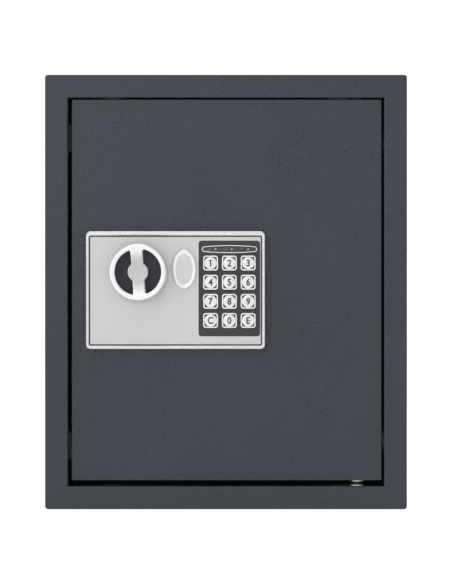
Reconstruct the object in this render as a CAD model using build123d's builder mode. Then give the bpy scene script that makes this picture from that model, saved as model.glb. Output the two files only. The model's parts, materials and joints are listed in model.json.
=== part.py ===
"""Electronic wall safe: a folded steel body, an inset door on two hinge pins, and a lock panel with a
turning knob, a twelve-key pad and a covered emergency lock. All sizes are in millimetres.

Frame: the origin is the centre of the back face, where the wall is. +X is to the right, +Z is up and
the door faces -Y. The rest position is a closed door with the bolts drawn in and the release pin in.
"""

from build123d import *
from math import cos, pi, radians, sin
import os

os.makedirs("parts", exist_ok=True)

# ---------------------------------------------------------------- driving dimensions
body_width = 300.0
body_height = 360.0
body_depth = 100.0
sheet = 1.5  # thickness of the folded body
body_corner = 2.5  # outside radius of the four long corners
fold = 1.4  # outside radius of the front folds
lip = 19.0  # width of the front frame
jamb_depth = 20.0  # how far the frame folds back round the opening

recess = 3.0  # door face behind the frame's face
door_thickness = 3.0
gap_left, gap_right, gap_top, gap_bottom = 3.0, 1.9, 1.2, 4.7

hinge_inset = 20.1  # hinge axis to the door's right edge
hinge_depth = 6.6  # hinge axis behind the door's face
pin_radius = 3.0
running = 0.1  # radial clearance of a turning fit

panel_width, panel_height, panel_corner = 148.0, 97.5, 3.8
panel_centre = (-41.7, 1.6)
bezel_side, bezel_top, bezel_bottom = 2.6, 3.9, 3.0  # widths of the bezel ring
bezel_stand = 8.5  # how far the ring stands off the door
face_stand, face_thickness = 7.5, 1.2
face_groove = 0.9  # dark gap between the bezel and the faceplate

knob_offset = (-30.5, 14.8)  # knob, emergency lock and key pad from the panel's centre
lock_offset = (7.2, 17.3)
pad_offset = (44.5, 1.3)
knob_radius, knob_height, knob_tilt = 23.8, 14.5, 4.2
crank_radius = 10.0

pad_width, pad_height, pad_corner, pad_thickness = 50.6, 78.8, 2.6, 1.5
key_size, key_corner, key_gap, key_stand = 12.4, 2.2, 0.2, 1.5
key_pitch_x, key_pitch_z = 15.5, 15.8

bolt_radius, bolt_spacing = 7.0, 100.0
cap_width, cap_height, cap_stand = 19.9, 32.6, 2.6

# ---------------------------------------------------------------- places worked out from them
opening_width = body_width - 2 * lip
opening_height = body_height - 2 * lip
inner_width = body_width - 2 * sheet
inner_height = body_height - 2 * sheet
front_y = -body_depth
jamb_back = front_y + jamb_depth

door_left = -opening_width / 2 + gap_left
door_right = opening_width / 2 - gap_right
door_top = opening_height / 2 - gap_top
door_bottom = -opening_height / 2 + gap_bottom
door_face = front_y + recess
door_back = door_face + door_thickness

hinge_x = door_right - hinge_inset
hinge_y = door_face + hinge_depth

panel_x, panel_z = panel_centre
knob_x, knob_z = panel_x + knob_offset[0], panel_z + knob_offset[1]
lock_x, lock_z = panel_x + lock_offset[0], panel_z + lock_offset[1]
pad_x, pad_z = panel_x + pad_offset[0], panel_z + pad_offset[1]
face_y = door_face - face_stand  # front of the faceplate
face_back = face_y + face_thickness
pad_face = face_y + 0.2
pad_back = pad_face + pad_thickness

bolt_travel = 2 * crank_radius * sin(radians(45))
bolt_y = jamb_back + 1.0 + bolt_radius
bolt_heights = (knob_z + bolt_spacing / 2, knob_z - bolt_spacing / 2)
bolt_tip = door_left + 0.5
plate_front, plate_back = -84.5, -82.0  # the sliding bolt plate
bracket_left, bracket_right = -123.0, -121.0
flange_left, flange_right = -106.0, -103.5

cover_left, cover_right = -120.8, 44.0
cover_bottom, cover_top, cover_back, cover_sheet = -64.0, 86.0, -59.0, 1.0

pin_x, pin_y, pin_tip = -58.0, (plate_front + plate_back) / 2, -3.5
coil_bottom, coil_top = -46.0, -17.0

tray_x, tray_z = 4.0, -28.0
tray_width, tray_height, tray_front, tray_back = 66.0, 60.0, -77.0, -59.2
cell_radius, cell_length, cell_pitch = 7.1, 50.0, 15.4

reset_x, reset_z = 25.0, 62.0


def level(y):
    """The upright plane at that depth: sketches are X and Z, and extrusions run forwards."""
    return Plane.XZ.offset(-y)


def save(piece, name):
    """Labels a finished piece and writes it as its own node."""
    piece.part.label = name
    export_step(piece.part, f"parts/{name}.step")


# ================================================================ body
with BuildPart() as body_shell:
    with BuildSketch(level(0)):
        RectangleRounded(body_width, body_height, body_corner)
    extrude(amount=body_depth)
    with BuildSketch(level(0)):
        RectangleRounded(inner_width, inner_height, body_corner - sheet)
    extrude(amount=body_depth - sheet, mode=Mode.SUBTRACT)
    with BuildSketch(level(front_y)):
        Rectangle(opening_width + 2 * sheet, opening_height + 2 * sheet)
    extrude(amount=-jamb_depth)
    with BuildSketch(level(front_y)):
        Rectangle(opening_width, opening_height)
    extrude(amount=-jamb_depth, mode=Mode.SUBTRACT)
    front = body_shell.faces().sort_by(Axis.Y)[0]
    fillet(front.edges(), radius=fold)
    with Locations((hinge_x, hinge_y, 0)):
        Cylinder(pin_radius + running, opening_height + 4 * sheet, mode=Mode.SUBTRACT)
save(body_shell, "body_shell")

wall_hole_radius, wall_pitch_x, wall_pitch_z = 5.0, 200.0, 260.0
weld_gap = 0.1
with BuildPart() as back_plate:
    with BuildSketch(level(0)):
        RectangleRounded(inner_width - 2 * weld_gap, inner_height - 2 * weld_gap, body_corner - sheet)
        with GridLocations(wall_pitch_x, wall_pitch_z, 2, 2):
            Circle(wall_hole_radius, mode=Mode.SUBTRACT)
    extrude(amount=sheet)
save(back_plate, "back_plate")

stop_reach, stop_height, stop_thickness, stop_z = 6.0, 22.0, 2.0, 128.0
with BuildPart() as door_stops:
    for z in (stop_z, -stop_z):
        with BuildSketch(level(door_back + 0.4 + stop_thickness)):
            with Locations((-opening_width / 2 + stop_reach / 2, z)):
                Rectangle(stop_reach, stop_height)
        extrude(amount=stop_thickness)
    fillet(door_stops.edges().filter_by(Axis.Y).group_by(Axis.X)[-1], radius=2.0)
save(door_stops, "door_stops")

pin_head_radius, pin_head, pin_reach = 5.5, 3.0, 28.0
jamb_outer = opening_height / 2 + sheet
with BuildPart() as hinge_pins:
    for side in (1, -1):
        with BuildSketch(Plane.XY.offset(side * jamb_outer)):
            with Locations((hinge_x, hinge_y)):
                Circle(pin_head_radius)
        extrude(amount=side * pin_head)
        with BuildSketch(Plane.XY.offset(side * jamb_outer)):
            with Locations((hinge_x, hinge_y)):
                Circle(pin_radius)
        extrude(amount=-side * pin_reach)
    inner_ends = hinge_pins.edges().filter_by(GeomType.CIRCLE).sort_by(lambda e: abs(e.center().Z))[:2]
    chamfer(inner_ends, length=1.0)
save(hinge_pins, "hinge_pins")

washer_outer, washer_inner = 6.0, 3.2
washer_levels = (  # bottom and thickness of each flat washer
    (-opening_height / 2, 1.2),
    (door_bottom - 1.1, 1.0),
    (door_top + 0.15, 0.9),
)
spring_start = -opening_height / 2 + 1.75
with BuildPart() as hinge_washers:
    for z, thickness in washer_levels:
        with BuildSketch(Plane.XY.offset(z)):
            with Locations((hinge_x, hinge_y)):
                Circle(washer_outer)
                Circle(washer_inner, mode=Mode.SUBTRACT)
        extrude(amount=thickness)
    with BuildLine(Plane(origin=(hinge_x, hinge_y, spring_start), x_dir=(-1, 0, 0))) as turn:
        Helix(pitch=0.8, height=0.75, radius=(washer_outer + washer_inner) / 2)
    with BuildSketch(Plane(turn.line @ 0, z_dir=turn.line % 0)):
        Rectangle(1.0, 1.0)
    sweep(path=turn.line, is_frenet=True)
save(hinge_washers, "hinge_washers")

mat_gap = 1.0
with BuildPart() as floor_mat:
    with BuildSketch(Plane.XY.offset(-inner_height / 2)):
        with Locations((0, (front_y - 0) / 2)):
            RectangleRounded(inner_width - 2 * mat_gap, body_depth - 2 * (sheet + mat_gap), 3.0)
    extrude(amount=2.0)
save(floor_mat, "floor_mat")

# ================================================================ door
door_width = door_right - door_left
door_height = door_top - door_bottom
door_mid = ((door_left + door_right) / 2, (door_top + door_bottom) / 2)
bush_outer = 6.0
barrel_radius = 7.5
cable_x, cable_z, cable_radius = pad_x + 9.0, pad_z + 22.0, 5.0
panel_screw_spots = [(-101.7, 41.9), (-101.7, -38.1), (-27.0, 41.9), (-27.0, -38.1)]
cover_screw_spots = [(-90.0, 90.0), (14.0, 90.0), (-90.0, -68.0), (14.0, -68.0), (48.0, 60.0), (48.0, -40.0)]
screw_bite = 2.2  # cover screws go this far into the door, and don't show at the front
with BuildPart() as door_plate:
    with BuildSketch(level(door_back)):
        with Locations(door_mid):
            RectangleRounded(door_width, door_height, 1.2)
    extrude(amount=door_thickness)
    fillet(door_plate.faces().sort_by(Axis.Y)[0].edges(), radius=0.6)
    with BuildSketch(level(door_back)):
        with Locations((knob_x, knob_z)):
            Circle(bush_outer)
        with Locations((lock_x, lock_z)):
            Circle(barrel_radius + 0.2)
        with Locations((cable_x, cable_z)):
            Circle(cable_radius)
        with Locations(*panel_screw_spots):
            Circle(2.2)
    extrude(amount=door_thickness, mode=Mode.SUBTRACT)
    with BuildSketch(level(door_back)):
        with Locations(*cover_screw_spots):
            Circle(1.8)
    extrude(amount=screw_bite, mode=Mode.SUBTRACT)
save(door_plate, "door_plate")

block_width, block_depth, block_height = 12.0, 10.0, 30.0
with BuildPart() as hinge_blocks:
    for bottom in (door_bottom, door_top - block_height):
        with BuildSketch(Plane.XY.offset(bottom)):
            with Locations((hinge_x, door_back + block_depth / 2)):
                RectangleRounded(block_width, block_depth, 1.5)
            with Locations((hinge_x, hinge_y)):
                Circle(pin_radius + running, mode=Mode.SUBTRACT)
        extrude(amount=block_height)
save(hinge_blocks, "hinge_blocks")

bracket_mid = (cover_bottom + cover_top) / 2
bracket_height = cover_top - cover_bottom - 3.0
foot = 12.0
with BuildPart() as bolt_bracket:
    with BuildSketch(Plane.XY.offset(bracket_mid - bracket_height / 2)):
        with BuildLine():
            Polyline(
                (bracket_left, door_back),
                (bracket_left, cover_back),
                (bracket_right, cover_back),
                (bracket_right, door_back + 2.0),
                (bracket_right + foot, door_back + 2.0),
                (bracket_right + foot, door_back),
                close=True,
            )
        make_face()
    extrude(amount=bracket_height)
    fillet(bolt_bracket.edges().filter_by(Axis.Z).group_by(Axis.X)[0].sort_by(Axis.Y)[0], radius=1.5)
    with BuildSketch(Plane.YZ.offset(bracket_left)):
        with Locations(*[(bolt_y, z) for z in bolt_heights]):
            Circle(bolt_radius + running)
    extrude(amount=bracket_right - bracket_left, mode=Mode.SUBTRACT)
save(bolt_bracket, "bolt_bracket")

guide_spots = [(-98.0, 55.0), (-66.0, 55.0), (-98.0, -20.0)]
guide_radius = 3.0
with BuildPart() as guide_studs:
    for radius, start, end in (
        (5.0, door_back, plate_front - 0.3),
        (guide_radius, door_back, plate_back + 0.3),
        (4.8, plate_back + 0.3, plate_back + 2.3),
    ):
        with BuildSketch(level(end)):
            with Locations(*guide_spots):
                Circle(radius)
        extrude(amount=end - start)
save(guide_studs, "guide_studs")

spindle_radius = 4.0
with BuildPart() as spindle_bush:
    with BuildSketch(level(door_back)):
        with Locations((knob_x, knob_z)):
            Circle(bush_outer)
    extrude(amount=door_thickness)
    with BuildSketch(level(door_back + 1.6)):
        with Locations((knob_x, knob_z)):
            Circle(bush_outer + 2.5)
    extrude(amount=1.6)
    with BuildSketch(level(door_back + 1.6)):
        with Locations((knob_x, knob_z)):
            Circle(spindle_radius + running)
    extrude(amount=door_thickness + 1.6, mode=Mode.SUBTRACT)
save(spindle_bush, "spindle_bush")

# ---------------------------------------------------------------- lock panel on the door's face
ring_inner_width = panel_width - 2 * bezel_side
ring_inner_height = panel_height - bezel_top - bezel_bottom
face_centre = (panel_x, panel_z + (bezel_bottom - bezel_top) / 2)
with BuildPart() as panel_bezel:
    with BuildSketch(level(door_face)):
        with Locations(panel_centre):
            RectangleRounded(panel_width, panel_height, panel_corner)
        with Locations(face_centre):
            RectangleRounded(ring_inner_width, ring_inner_height, 1.6, mode=Mode.SUBTRACT)
    extrude(amount=bezel_stand)
    top = panel_bezel.faces().sort_by(Axis.Y)[0]
    fillet(top.outer_wire().edges(), radius=1.5)
    fillet(panel_bezel.faces().sort_by(Axis.Y)[0].inner_wires()[0].edges(), radius=0.7)
save(panel_bezel, "panel_bezel")

board_gap = 0.6  # round the board, inside the housing
with BuildPart() as panel_housing:
    with BuildSketch(level(door_face)):
        with Locations(face_centre):
            RectangleRounded(ring_inner_width - 0.2, ring_inner_height - 0.2, 1.5)
        with Locations((knob_x, knob_z)):
            Circle(spindle_radius + 1.0, mode=Mode.SUBTRACT)
        with Locations((lock_x, lock_z)):
            Circle(barrel_radius + 0.2, mode=Mode.SUBTRACT)
        with Locations((pad_x, pad_z)):
            RectangleRounded(pad_width + board_gap, pad_height + board_gap, pad_corner, mode=Mode.SUBTRACT)
        with Locations(*panel_screw_spots):
            Circle(2.0, mode=Mode.SUBTRACT)
    extrude(amount=face_stand - face_thickness)
    with BuildSketch(level(face_back)):
        with Locations((lock_x, lock_z)):
            Ellipse(cap_width / 2 - 1.6, cap_height / 2 - 1.6)
    extrude(amount=-2.4, mode=Mode.SUBTRACT)
save(panel_housing, "panel_housing")

plate_width = ring_inner_width - 2 * face_groove
plate_height = ring_inner_height - 2 * face_groove
with BuildPart() as faceplate:
    with BuildSketch(level(face_back)):
        with Locations(face_centre):
            RectangleRounded(plate_width, plate_height, 1.0)
        with Locations((knob_x, knob_z)):
            Circle(spindle_radius + 1.0, mode=Mode.SUBTRACT)
        with Locations((lock_x, lock_z)):
            Ellipse(cap_width / 2 - 1.6, cap_height / 2 - 1.6, mode=Mode.SUBTRACT)
        with Locations((pad_x, pad_z)):
            RectangleRounded(pad_width + 0.3, pad_height + 0.3, pad_corner, mode=Mode.SUBTRACT)
    extrude(amount=face_thickness)
    front = faceplate.faces().sort_by(Axis.Y)[0]
    fillet(front.outer_wire().edges(), radius=0.3)
save(faceplate, "faceplate")

window_z = pad_z + 32.5
window_half, window_end, window_mid = 22.8, 2.3, 3.25  # half length, end radius, half height at the middle


def window_outline(inset):
    """The indicator's long bowed outline: two shallow arcs between round ends."""
    end = window_end - inset
    reach = window_half - window_end
    with BuildLine() as outline:
        ThreePointArc((-reach, end), (0, window_mid - inset), (reach, end))
        ThreePointArc((reach, end), (reach + end, 0), (reach, -end))
        ThreePointArc((reach, -end), (0, -window_mid + inset), (-reach, -end))
        ThreePointArc((-reach, -end), (-reach - end, 0), (-reach, end))
    make_face(outline.edges())


def key_spots():
    """Centres of the keys in reading order, three to a row."""
    return [(pad_x + (column - 1) * key_pitch_x, pad_z - 2.7 + (1.5 - row) * key_pitch_z)
            for row in range(4) for column in range(3)]


window_plane = Plane(origin=(pad_x, pad_back, window_z), x_dir=(1, 0, 0), z_dir=(0, -1, 0))
with BuildPart() as keypad_fascia:
    with BuildSketch(level(pad_back)):
        with Locations((pad_x, pad_z)):
            RectangleRounded(pad_width, pad_height, pad_corner)
        with Locations(*key_spots()):
            RectangleRounded(key_size + 2 * key_gap, key_size + 2 * key_gap, key_corner + key_gap,
                             mode=Mode.SUBTRACT)
    extrude(amount=pad_thickness)
    with BuildSketch(window_plane):
        window_outline(0)
    extrude(amount=pad_thickness, mode=Mode.SUBTRACT)
save(keypad_fascia, "keypad_fascia")

trim_width, trim_stand = 0.6, 0.35
with BuildPart() as indicator_trim:
    with BuildSketch(window_plane):
        window_outline(0.05)
    extrude(amount=pad_thickness + trim_stand)
    with BuildSketch(window_plane):
        window_outline(trim_width)
    extrude(amount=pad_thickness + trim_stand, mode=Mode.SUBTRACT)
save(indicator_trim, "indicator_trim")

with BuildPart() as indicator_lens:
    with BuildSketch(window_plane):
        window_outline(trim_width + 0.05)
    extrude(amount=pad_thickness)
save(indicator_lens, "indicator_lens")

membrane_back, membrane_thickness = door_face - 2.6, 1.6
board_back, board_thickness = door_face - 0.6, 1.6
with BuildPart() as keypad_membrane:
    with BuildSketch(level(membrane_back)):
        with Locations((pad_x, pad_z - 5.0)):
            RectangleRounded(pad_width - 1.0, pad_height - 12.0, 2.0)
    extrude(amount=membrane_thickness)
save(keypad_membrane, "keypad_membrane")

with BuildPart() as circuit_board:
    with BuildSketch(level(board_back)):
        with Locations((pad_x, pad_z)):
            RectangleRounded(pad_width - 0.6, pad_height - 0.6, 2.0)
    extrude(amount=board_thickness)
save(circuit_board, "circuit_board")

led_pitch, led_radius = 13.4, 1.5
board_front = Plane(origin=(pad_x, board_back - board_thickness, window_z), x_dir=(1, 0, 0), z_dir=(0, -1, 0))
with BuildPart() as indicator_leds:
    with BuildSketch(board_front):
        with Locations(*[(i * led_pitch, 0) for i in (-1, 0, 1)]):
            Circle(led_radius)
    extrude(amount=2.6)
    fillet(indicator_leds.faces().filter_by(Axis.Y).group_by(Axis.Y)[0].edges(), radius=1.2)
save(indicator_leds, "indicator_leds")

panel_head_radius, panel_head = 3.8, 2.4
with BuildPart() as panel_screws:
    with BuildSketch(level(door_back)):
        with Locations(*panel_screw_spots):
            Circle(1.95)
    extrude(amount=door_thickness + 5.0)
    with BuildSketch(level(door_back + panel_head)):
        with Locations(*panel_screw_spots):
            Circle(panel_head_radius)
    extrude(amount=panel_head)
    fillet(panel_screws.faces().filter_by(Axis.Y).group_by(Axis.Y)[-1].edges(), radius=1.2)
    with BuildSketch(level(door_back + panel_head)):
        with Locations(*panel_screw_spots):
            Rectangle(4.6, 0.9)
            Rectangle(0.9, 4.6)
    extrude(amount=1.2, mode=Mode.SUBTRACT)
save(panel_screws, "panel_screws")

# ---------------------------------------------------------------- keys
key_flange, key_flange_thickness = 13.8, 0.6
key_top = pad_face - key_stand
disc_radius = key_size / 2 - 1.05
rim = 1.2  # square rim round the disc
corner_depth = 0.7
key_names = ("1", "2", "3", "4", "5", "6", "7", "8", "9", "clear", "0", "enter")
for name, (x, z) in zip(key_names, key_spots()):
    with BuildPart() as key:
        with BuildSketch(level(pad_back + 0.1 + key_flange_thickness)):
            with Locations((x, z)):
                RectangleRounded(key_flange, key_flange, 2.4)
        extrude(amount=key_flange_thickness)
        with BuildSketch(level(pad_back + 0.1)):
            with Locations((x, z)):
                RectangleRounded(key_size, key_size, key_corner)
        extrude(amount=pad_back + 0.1 - key_top)
        fillet(key.faces().sort_by(Axis.Y)[0].edges(), radius=0.45)
        with BuildSketch(level(key_top)):
            with Locations((x, z)):
                RectangleRounded(key_size - 2 * rim, key_size - 2 * rim, key_corner - 0.6)
                Circle(disc_radius, mode=Mode.SUBTRACT)
        extrude(amount=-corner_depth, mode=Mode.SUBTRACT)
    save(key, f"key_{name}")

# ---------------------------------------------------------------- knob and its spindle
knob_base = face_y - 0.7
knob_front = knob_base - knob_height
pocket_outer, hub_radius, bar_hub, bar_rim = 19.2, 8.35, 4.8, 5.0
pocket_floor = knob_base - 4.0
dish_radius = 130.0


knob_plane = Plane(origin=(knob_x, 0, knob_z), x_dir=(cos(radians(knob_tilt)), 0, sin(radians(knob_tilt))),
                   z_dir=(0, -1, 0))


def pockets(grow):
    """The two crescent finger pockets, made smaller all round by grow."""
    Circle(pocket_outer - grow)
    Circle(hub_radius + grow, mode=Mode.SUBTRACT)
    with BuildLine() as outline:
        Polyline(
            (-bar_hub - grow, 0),
            (-bar_rim - grow, knob_radius),
            (bar_rim + grow, knob_radius),
            (bar_hub + grow, 0),
            (bar_rim + grow, -knob_radius),
            (-bar_rim - grow, -knob_radius),
            close=True,
        )
    make_face(outline.edges(), mode=Mode.SUBTRACT)


with BuildPart() as knob:
    with BuildSketch(knob_plane.offset(-knob_base)):
        Circle(knob_radius)
    extrude(amount=knob_height, taper=2.0)
    with Locations((knob_x, knob_front + 1.6 - dish_radius, knob_z)):
        Sphere(dish_radius, mode=Mode.SUBTRACT)
    with BuildSketch(knob_plane.offset(-pocket_floor)) as crescents:
        pockets(0)
        fillet(crescents.vertices(), radius=1.3)
    extrude(amount=knob_height, mode=Mode.SUBTRACT)
    fillet(knob.edges().filter_by(GeomType.CIRCLE).sort_by(Axis.Y)[0], radius=1.6)
    with BuildSketch(level(knob_base)):
        with Locations((knob_x, knob_z)):
            Circle(spindle_radius + 0.05)
    extrude(amount=9.0, mode=Mode.SUBTRACT)
save(knob, "knob")

with BuildPart() as knob_inlays:
    with BuildSketch(knob_plane.offset(-pocket_floor)) as crescents:
        pockets(0.12)
        fillet(crescents.vertices(), radius=1.2)
    extrude(amount=1.0)
save(knob_inlays, "knob_inlays")

spindle_end = -74.0
crank_front, crank_back = plate_back + 0.5, plate_back + 4.5
with BuildPart() as spindle:
    with BuildSketch(level(spindle_end)):
        with Locations((knob_x, knob_z)):
            Circle(spindle_radius)
    extrude(amount=spindle_end - knob_base + 8.8)
    chamfer(spindle.edges().filter_by(GeomType.CIRCLE).group_by(Axis.Y)[-1], length=0.8)
    with BuildSketch(level(crank_back + 1.4)):
        with Locations((knob_x, knob_z)):
            Circle(spindle_radius)
            Circle(spindle_radius - 0.8, mode=Mode.SUBTRACT)
    extrude(amount=1.2, mode=Mode.SUBTRACT)
save(spindle, "spindle")

crank_x, crank_z = knob_x + crank_radius * cos(pi / 4), knob_z + crank_radius * sin(pi / 4)
crank_pin_radius, crank_pin_play = 3.0, 0.4
with BuildPart() as crank:
    with BuildSketch(level(crank_back)):
        with Locations((knob_x, knob_z)):
            Circle(9.0)
        with Locations((crank_x, crank_z)):
            Circle(5.0)
        make_hull()
        with Locations((knob_x, knob_z)):
            Circle(spindle_radius + 0.05, mode=Mode.SUBTRACT)
    extrude(amount=crank_back - crank_front)
    with BuildSketch(level(crank_front)):
        with Locations((crank_x, crank_z)):
            Circle(crank_pin_radius)
    extrude(amount=crank_front - plate_front + 1.5)
save(crank, "crank")

with BuildPart() as spindle_clip:
    with BuildSketch(level(crank_back + 1.3)):
        with Locations((knob_x, knob_z)):
            Circle(6.6)
            Circle(spindle_radius - 0.7, mode=Mode.SUBTRACT)
        with Locations((knob_x, knob_z - 5.0)):
            Rectangle(5.0, 6.0, mode=Mode.SUBTRACT)
    extrude(amount=1.0)
save(spindle_clip, "spindle_clip")

# ---------------------------------------------------------------- sliding bolts
plate_top, plate_bottom, plate_right = 76.0, -43.0, -48.0
shoulder_x, shoulder_z = -76.0, -2.0  # the plate and its lug are cut away below here, for the release pin
lug_top, notch_top = 8.0, 4.0
slot_half = guide_radius + 0.2
crank_rise = crank_radius * (1 - cos(pi / 4)) + 0.8  # how far the crank pin travels up and down in its slot
with BuildPart() as bolt_plate:
    with BuildSketch(level(plate_back)):
        with BuildLine():
            Polyline(
                (flange_left, plate_bottom),
                (shoulder_x, plate_bottom),
                (shoulder_x, lug_top),
                (plate_right, lug_top),
                (plate_right, plate_top),
                (flange_left, plate_top),
                close=True,
            )
        make_face()
        with Locations(*[(x + bolt_travel / 2, z) for x, z in guide_spots]):
            SlotCenterToCenter(bolt_travel, 2 * slot_half, mode=Mode.SUBTRACT)
        with Locations((knob_x + bolt_travel / 2, knob_z)):
            SlotCenterToCenter(bolt_travel, 2 * spindle_radius + 1.0, mode=Mode.SUBTRACT)
        with Locations((crank_x, knob_z + (cos(pi / 4) + 1) * crank_radius / 2)):
            SlotCenterToCenter(crank_rise, 2 * (crank_pin_radius + crank_pin_play), 90, mode=Mode.SUBTRACT)
    extrude(amount=plate_back - plate_front)
    with BuildSketch(level(bolt_y + bolt_radius + 2.0)):
        with Locations(((flange_left + flange_right) / 2, (plate_top + plate_bottom) / 2)):
            Rectangle(flange_right - flange_left, plate_top - plate_bottom)
    extrude(amount=bolt_y + bolt_radius + 2.0 - plate_back)
    with BuildSketch(Plane.YZ.offset(flange_left)):
        with Locations(*[(bolt_y, z) for z in bolt_heights]):
            Circle(4.1)
    extrude(amount=flange_right - flange_left, mode=Mode.SUBTRACT)
save(bolt_plate, "bolt_plate")

with BuildPart() as locking_lug:
    with BuildSketch(level(plate_back)):
        with Locations(((shoulder_x + plate_right) / 2, (shoulder_z + lug_top) / 2)):
            Rectangle(plate_right - shoulder_x, lug_top - shoulder_z)
        with Locations((pin_x, notch_top - lug_top)):
            Rectangle(7.2, 2 * lug_top, mode=Mode.SUBTRACT)
    extrude(amount=plate_back - plate_front)
save(locking_lug, "locking_lug")

with BuildPart() as lock_bolts:
    for radius, start, end in ((bolt_radius, bolt_tip, flange_left), (4.0, flange_left, flange_right),
                               (5.6, flange_right, flange_right + 1.6)):
        with BuildSketch(Plane.YZ.offset(start)):
            with Locations(*[(bolt_y, z) for z in bolt_heights]):
                Circle(radius)
        extrude(amount=end - start)
    fillet(lock_bolts.faces().filter_by(Axis.X).group_by(Axis.X)[0].edges(), radius=1.2)
save(lock_bolts, "lock_bolts")

# ---------------------------------------------------------------- emergency lock under its oval cap
barrel_front, barrel_back = face_back + 1.1, -81.0
plug_radius = 4.9
with BuildPart() as lock_barrel:
    with BuildSketch(level(barrel_back)):
        with Locations((lock_x, lock_z)):
            Circle(barrel_radius)
            Circle(plug_radius + running, mode=Mode.SUBTRACT)
    extrude(amount=barrel_back - barrel_front)
    chamfer(lock_barrel.faces().sort_by(Axis.Y)[0].outer_wire().edges(), length=0.5)
save(lock_barrel, "lock_barrel")

with BuildPart() as lock_nut:
    with BuildSketch(level(door_back + 5.0)):
        with Locations((lock_x, lock_z)):
            RegularPolygon(11.0, 6)
            Circle(barrel_radius + 0.1, mode=Mode.SUBTRACT)
    extrude(amount=4.9)
save(lock_nut, "lock_nut")

cam_front, cam_back, cam_reach = -80.0, -77.5, 26.4
with BuildPart() as lock_plug:
    with BuildSketch(level(cam_front)):
        with Locations((lock_x, lock_z)):
            Circle(plug_radius)
    extrude(amount=cam_front - barrel_front)
    with BuildSketch(level(cam_back)):
        with Locations((lock_x, lock_z)):
            Rectangle(5.0, 5.0)
    extrude(amount=cam_back - cam_front)
    with BuildSketch(level(barrel_front)):
        with Locations((lock_x, lock_z)):
            Rectangle(1.9, 7.4)
    extrude(amount=-14.0, mode=Mode.SUBTRACT)
save(lock_plug, "lock_plug")

with BuildPart() as lock_cam:
    with BuildSketch(level(cam_back)):
        with Locations((lock_x, lock_z)):
            Circle(7.0)
        with Locations((lock_x + cam_reach - 4.0, lock_z)):
            Circle(4.0)
        make_hull()
        with Locations((lock_x, lock_z)):
            Rectangle(5.1, 5.1, mode=Mode.SUBTRACT)
    extrude(amount=cam_back - cam_front)
save(lock_cam, "lock_cam")

with BuildPart() as lock_cap:
    with BuildSketch(level(face_y)):
        with Locations((lock_x, lock_z)):
            Ellipse(cap_width / 2, cap_height / 2)
    extrude(amount=cap_stand)
    fillet(lock_cap.faces().sort_by(Axis.Y)[0].edges(), radius=1.1)
    with BuildSketch(level(face_y - cap_stand)):
        with Locations((lock_x, lock_z)):
            Ellipse(cap_width / 2 - 2.4, cap_height / 2 - 2.4)
    extrude(amount=-0.5, mode=Mode.SUBTRACT)
    with BuildSketch(level(face_y)):
        with Locations((lock_x, lock_z)):
            Ellipse(cap_width / 2 - 1.8, cap_height / 2 - 1.8)
            Ellipse(cap_width / 2 - 2.8, cap_height / 2 - 2.8, mode=Mode.SUBTRACT)
    extrude(amount=-2.0)
save(lock_cap, "lock_cap")

# ---------------------------------------------------------------- release pin and its solenoid
coil_width, coil_deep, strap = 24.0, 19.0, 1.6
release_radius = 3.0
with BuildPart() as solenoid_frame:
    with BuildSketch(Plane.XY.offset(coil_bottom)):
        with Locations((pin_x, pin_y)):
            Rectangle(coil_width, coil_deep)
    extrude(amount=coil_top - coil_bottom)
    with BuildSketch(Plane.XY.offset(coil_bottom + strap)):
        with Locations((pin_x, pin_y + strap)):
            Rectangle(coil_width - 2 * strap, coil_deep + 2 * strap)
    extrude(amount=coil_top - coil_bottom - 2 * strap, mode=Mode.SUBTRACT)
    with BuildSketch(Plane.XY.offset(coil_top)):
        with Locations((pin_x, pin_y)):
            Circle(release_radius + 0.15)
    extrude(amount=-2 * strap, mode=Mode.SUBTRACT)
save(solenoid_frame, "solenoid_frame")

bobbin = 1.2
with BuildPart() as solenoid_coil:
    with BuildSketch(Plane.XY.offset(coil_bottom + strap)):
        with Locations((pin_x, pin_y)):
            Circle(8.4)
    extrude(amount=coil_top - coil_bottom - 2 * strap)
    with BuildSketch(Plane.XY.offset(coil_bottom + strap + bobbin)):
        with Locations((pin_x, pin_y)):
            Circle(8.4)
            Circle(7.6, mode=Mode.SUBTRACT)
    extrude(amount=coil_top - coil_bottom - 2 * strap - 2 * bobbin, mode=Mode.SUBTRACT)
    with BuildSketch(Plane.XY.offset(coil_top - strap)):
        with Locations((pin_x, pin_y)):
            Circle(release_radius + 0.15)
    extrude(amount=-24.0, mode=Mode.SUBTRACT)
save(solenoid_coil, "solenoid_coil")

arm_bottom, arm_height = -10.8, 3.0
with BuildPart() as release_pin:
    with BuildSketch(Plane.XY.offset(pin_tip - 33.0)):
        with Locations((pin_x, pin_y)):
            Circle(release_radius)
    extrude(amount=33.0)
    chamfer(release_pin.faces().sort_by(Axis.Z)[-1].edges(), length=0.6)
    with BuildSketch(Plane.XY.offset(arm_bottom)):
        with BuildLine():
            Polyline(
                (pin_x - 5.0, pin_y - 5.0),
                (pin_x - 5.0, cam_back),
                (lock_x + 4.0, cam_back),
                (lock_x + 4.0, cam_front),
                (pin_x + 5.0, cam_front),
                (pin_x + 5.0, pin_y - 5.0),
                close=True,
            )
        make_face()
    extrude(amount=arm_height)
save(release_pin, "release_pin")

spring_wire, spring_mean, spring_turns = 0.3, 4.2, 4.0
spring_low, spring_high = coil_top + spring_wire + 0.05, arm_bottom - spring_wire - 0.05
spring_length = spring_high - spring_low
with BuildPart() as pin_spring:
    with BuildLine(Plane(origin=(pin_x, pin_y, spring_low))) as coil:
        Helix(pitch=spring_length / spring_turns, height=spring_length, radius=spring_mean)
    with BuildSketch(Plane(coil.line @ 0, z_dir=coil.line % 0)):
        Circle(spring_wire)
    sweep(path=coil.line, is_frenet=True)
save(pin_spring, "pin_spring")

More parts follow.
